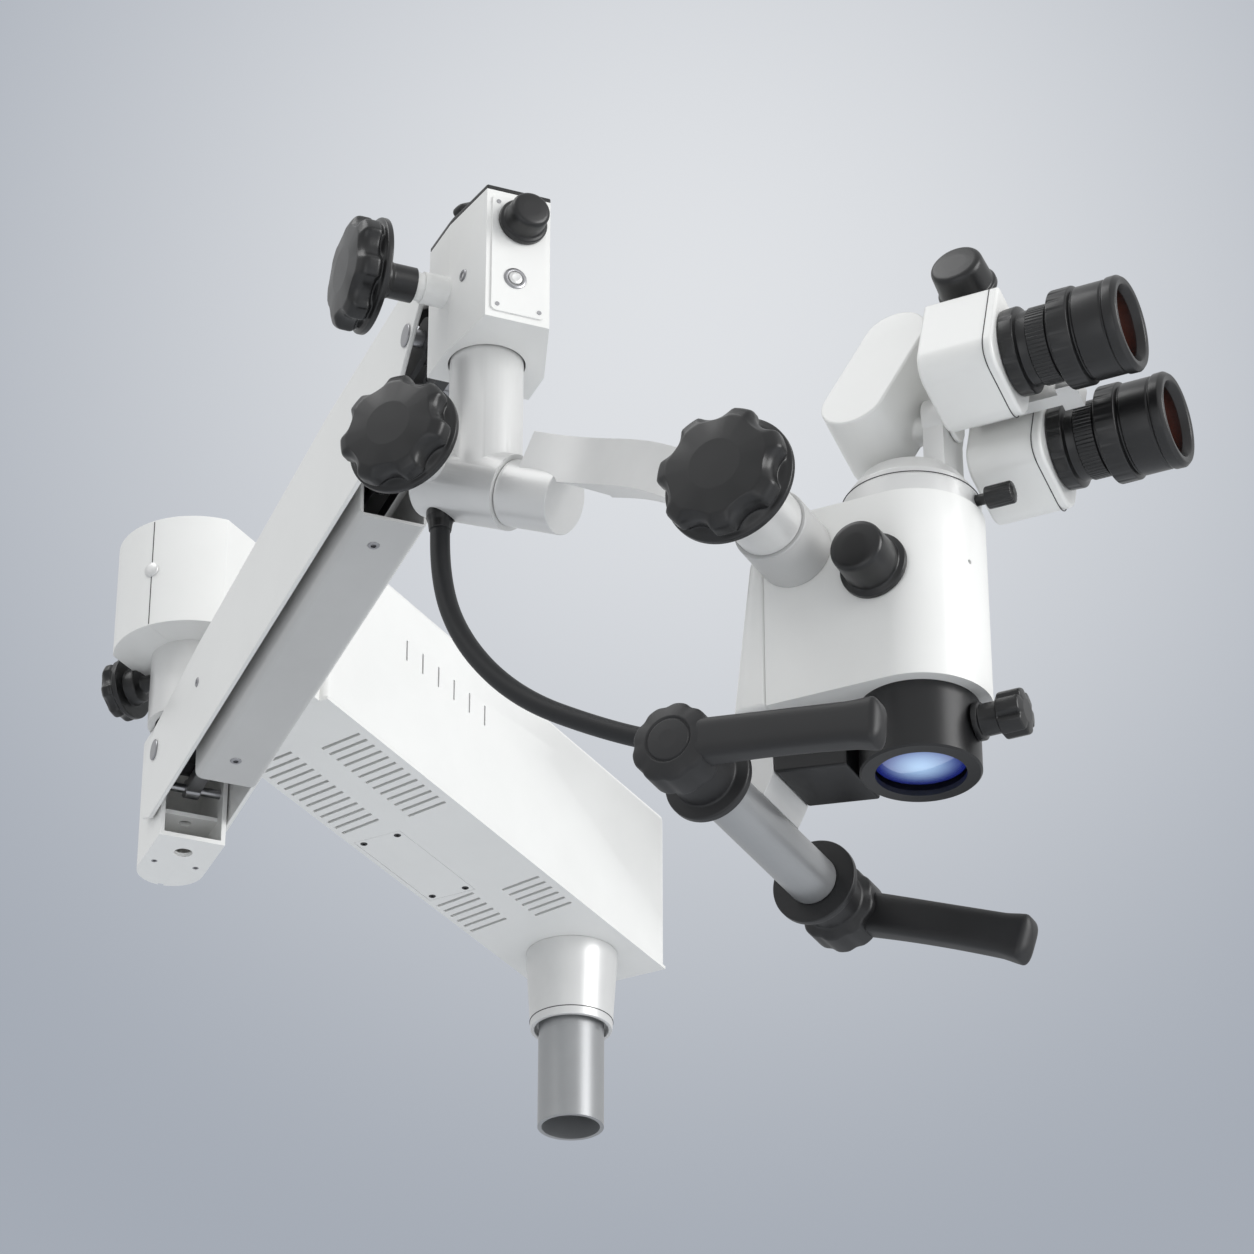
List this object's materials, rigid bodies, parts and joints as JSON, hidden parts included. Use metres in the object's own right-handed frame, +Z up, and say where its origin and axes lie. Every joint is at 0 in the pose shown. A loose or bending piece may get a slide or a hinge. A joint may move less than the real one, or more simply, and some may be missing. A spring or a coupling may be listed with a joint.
{
  "type": "surgical microscope",
  "caption": "Ceiling- or column-hung operating microscope on a jointed, balanced swing arm, with an inclinable binocular tube, an objective and turning handles.",
  "frame": {"origin": "centre of the column's open lower end", "axes": "+Z up along the column, +X along the base arm to its far pivot, +Y to the left of the base arm"},
  "size_m": [1.0414, 0.8883, 0.6161],
  "materials": {
    "white_paint": "satin",
    "grey_paint": "satin",
    "silver_metal": "satin",
    "bright_steel": "satin",
    "black_plastic": "matt",
    "black_metal": "satin",
    "bronze": "plain",
    "lens_glass": "clear",
    "cable_jacket": "matt"
  },
  "bodies": {
    "stand": {"column_tube": "bright_steel"},
    "base_arm": {"collar_sleeve": "silver_metal", "swivel_bushes": "bronze", "base_beam": "grey_paint", "base_housing": "white_paint", "base_floor": "white_paint", "service_hatch": "white_paint", "power_supply": "bright_steel", "nose_shell_left": "white_paint", "nose_shell_right": "white_paint", "neck_sleeve": "silver_metal"},
    "arm_lock": {"arm_lock_knob": "black_plastic"},
    "knuckle": {"knuckle_bracket": "white_paint"},
    "arm": {"arm_beam": "grey_paint", "side_plate_left": "white_paint", "side_plate_right": "white_paint", "arm_cover": "grey_paint", "spring_cartridge": "bright_steel", "pivot_pins": "bright_steel"},
    "balance": {"balance_knob": "black_plastic"},
    "link": {"parallel_link": "bright_steel"},
    "head": {"head_frame": "grey_paint", "head_shell": "white_paint", "head_panel": "silver_metal", "panel_screws": "bright_steel", "head_top_cap": "black_plastic"},
    "side_lock": {"head_side_knob": "black_plastic"},
    "top_lock": {"head_top_knob": "black_plastic"},
    "front_dial": {"head_front_knob": "black_plastic"},
    "button": {"head_button": "black_plastic"},
    "yoke": {"yoke_elbow": "silver_metal", "cable_gland": "black_plastic", "cable_upper": "cable_jacket"},
    "yoke_lock": {"yoke_knob": "black_plastic"},
    "carrier": {"roll_shaft": "silver_metal", "cross_arm": "silver_metal", "cable_lower": "cable_jacket"},
    "tilt_lock": {"tilt_knob": "black_plastic"},
    "microscope": {"pitch_collar": "grey_paint", "body_shell": "white_paint", "rear_cover": "white_paint", "rear_bracket": "silver_metal", "lamp_housing": "black_metal", "objective_barrel": "black_metal", "dovetail_ring": "silver_metal", "handle_bar": "silver_metal"},
    "lens_cell": {"objective_lens": "lens_glass"},
    "focus": {"focus_knob": "black_plastic"},
    "zoom": {"zoom_knob": "black_plastic"},
    "clamp": {"clamp_screw": "black_plastic"},
    "near_handle": {"handle_near": "black_plastic"},
    "far_handle": {"handle_far": "black_plastic"},
    "tube_base": {"bino_base": "silver_metal"},
    "tube_roll": {"tube_housing": "white_paint"},
    "tube_tilt": {"tube_bridge": "grey_paint"},
    "ipd": {"ipd_knob": "black_plastic"},
    "near_tube": {"prism_near": "white_paint"},
    "far_tube": {"prism_far": "white_paint"},
    "near_eye": {"eyepiece_near": "black_plastic"},
    "far_eye": {"eyepiece_far": "black_plastic"}
  },
  "joints": [
    {"name": "column_swivel", "type": "hinge", "parent": "stand", "child": "base_arm", "pos_m": [0, 0, 0], "axis": [0, 0, 1], "range_deg": [-170, 170]},
    {"name": "arm_lock_turn", "type": "hinge", "parent": "base_arm", "child": "arm_lock", "pos_m": [0.511, 0, 0.132], "axis": [0, -1, 0], "range_deg": [-180, 180]},
    {"name": "arm_swivel", "type": "hinge", "parent": "base_arm", "child": "knuckle", "pos_m": [0.511, 0, 0], "axis": [0, 0, 1], "range_deg": [-151, 69]},
    {"name": "arm_lift", "type": "hinge", "parent": "knuckle", "child": "arm", "pos_m": [0.51855, 0.00933, 0.061], "axis": [0.7771, -0.6293, 0], "range_deg": [-35, 30]},
    {"name": "balance_turn", "type": "hinge", "parent": "arm", "child": "balance", "pos_m": [0.80449, 0.36243, 0.08505], "axis": [-0.0333, -0.0411, 0.9986], "range_deg": [-180, 180]},
    {"name": "link_swing", "type": "hinge", "parent": "knuckle", "child": "link", "pos_m": [0.51855, 0.00933, 0.037], "axis": [0.7771, -0.6293, 0], "range_deg": [-35, 30]},
    {"name": "head_level", "type": "hinge", "parent": "arm", "child": "head", "pos_m": [0.82209, 0.38416, 0.08653], "axis": [0.7771, -0.6293, 0], "range_deg": [-30, 35]},
    {"name": "side_lock_turn", "type": "hinge", "parent": "head", "child": "side_lock", "pos_m": [0.86073, 0.43188, 0.07753], "axis": [0.7771, -0.6293, 0], "range_deg": [-180, 180]},
    {"name": "top_lock_turn", "type": "hinge", "parent": "head", "child": "top_lock", "pos_m": [0.86073, 0.43188, 0.08653], "axis": [0, 0, 1], "range_deg": [-180, 180]},
    {"name": "front_dial_turn", "type": "hinge", "parent": "head", "child": "front_dial", "pos_m": [0.85964, 0.43276, 0.09993], "axis": [0.6293, 0.7771, 0], "range_deg": [-150, 150]},
    {"name": "button_press", "type": "slide", "parent": "head", "child": "button", "axis": [-0.6293, -0.7771, 0], "range_m": [0, 0.0015], "stiffness_N_per_m": 600, "springref_m": -0.0005},
    {"name": "yoke_swivel", "type": "hinge", "parent": "head", "child": "yoke", "pos_m": [0.86073, 0.43188, 0.08653], "axis": [0, 0, 1], "range_deg": [-100, 55]},
    {"name": "yoke_lock_turn", "type": "hinge", "parent": "yoke", "child": "yoke_lock", "pos_m": [0.86164, 0.40906, -0.034], "axis": [0.9992, 0.0401, 0], "range_deg": [-180, 180]},
    {"name": "microscope_roll", "type": "hinge", "parent": "yoke", "child": "carrier", "pos_m": [0.86073, 0.43188, -0.04417], "axis": [-0.0367, 0.9128, -0.4067], "range_deg": [-40, 40], "deforming": ["cable_upper"]},
    {"name": "tilt_lock_turn", "type": "hinge", "parent": "carrier", "child": "tilt_lock", "pos_m": [0.85266, 0.63272, -0.15927], "axis": [0.9992, 0.0401, 0], "range_deg": [-180, 180]},
    {"name": "microscope_tilt", "type": "hinge", "parent": "carrier", "child": "microscope", "pos_m": [0.85266, 0.63272, -0.15927], "axis": [-0.9992, -0.0401, 0], "range_deg": [-30, 40], "deforming": ["cable_lower"]},
    {"name": "focus_turn", "type": "hinge", "parent": "microscope", "child": "focus", "pos_m": [0.8507, 0.68168, -0.25827], "axis": [-0.0401, 0.9992, 0], "range_deg": [-180, 180]},
    {"name": "lens_travel", "type": "slide", "parent": "microscope", "child": "lens_cell", "axis": [0, 0, 1], "range_m": [-0.003, 0.003]},
    {"name": "zoom_turn", "type": "hinge", "parent": "microscope", "child": "zoom", "pos_m": [0.85092, 0.67608, -0.17927], "axis": [0.9992, 0.0401, 0], "range_deg": [-135, 135]},
    {"name": "clamp_turn", "type": "hinge", "parent": "microscope", "child": "clamp", "pos_m": [0.8507, 0.68168, -0.13077], "axis": [-0.0401, 0.9992, 0], "range_deg": [-180, 180]},
    {"name": "near_handle_turn", "type": "hinge", "parent": "microscope", "child": "near_handle", "pos_m": [0.85419, 0.59475, -0.29227], "axis": [-0.9992, -0.0401, 0], "range_deg": [-30, 30]},
    {"name": "far_handle_turn", "type": "hinge", "parent": "microscope", "child": "far_handle", "pos_m": [0.85419, 0.59475, -0.29227], "axis": [-0.9992, -0.0401, 0], "range_deg": [-30, 30]},
    {"name": "tube_swivel", "type": "hinge", "parent": "microscope", "child": "tube_base", "pos_m": [0.8507, 0.68168, -0.24327], "axis": [0, 0, 1], "range_deg": [-30, 30]},
    {"name": "tube_level", "type": "hinge", "parent": "tube_base", "child": "tube_roll", "pos_m": [0.85047, 0.68717, -0.08077], "axis": [-0.0401, 0.9992, 0], "range_deg": [0, 19]},
    {"name": "tube_incline", "type": "hinge", "parent": "tube_roll", "child": "tube_tilt", "pos_m": [0.8376, 0.68315, -0.04295], "axis": [-0.9448, -0.0379, -0.3256], "range_deg": [-45, 0]},
    {"name": "ipd_turn", "type": "hinge", "parent": "tube_tilt", "child": "ipd", "pos_m": [0.8335, 0.72853, -0.03633], "axis": [0.9448, 0.0379, 0.3256], "range_deg": [-180, 180]},
    {"name": "near_tube_slide", "type": "slide", "parent": "tube_tilt", "child": "near_tube", "axis": [-0.9448, -0.0379, -0.3256], "range_m": [-0.004, 0.004]},
    {"name": "far_tube_slide", "type": "slide", "parent": "tube_tilt", "child": "far_tube", "axis": [-0.9448, -0.0379, -0.3256], "range_m": [-0.004, 0.004]},
    {"name": "near_eye_turn", "type": "hinge", "parent": "near_tube", "child": "near_eye", "pos_m": [0.88165, 0.68843, -0.07003], "axis": [-0.0401, 0.9992, 0], "range_deg": [-90, 90]},
    {"name": "far_eye_turn", "type": "hinge", "parent": "far_tube", "child": "far_eye", "pos_m": [0.8193, 0.68592, -0.09151], "axis": [-0.0401, 0.9992, 0], "range_deg": [-90, 90]}
  ],
  "couplings": [
    {"joint": "link_swing", "follows": "arm_lift", "ratio": 1},
    {"joint": "head_level", "follows": "arm_lift", "ratio": -1},
    {"joint": "focus_turn", "follows": "lens_travel", "rad_per_m": 1047},
    {"joint": "ipd_turn", "follows": "near_tube_slide", "rad_per_m": 785},
    {"joint": "far_tube_slide", "follows": "near_tube_slide", "ratio": -1}
  ]
}
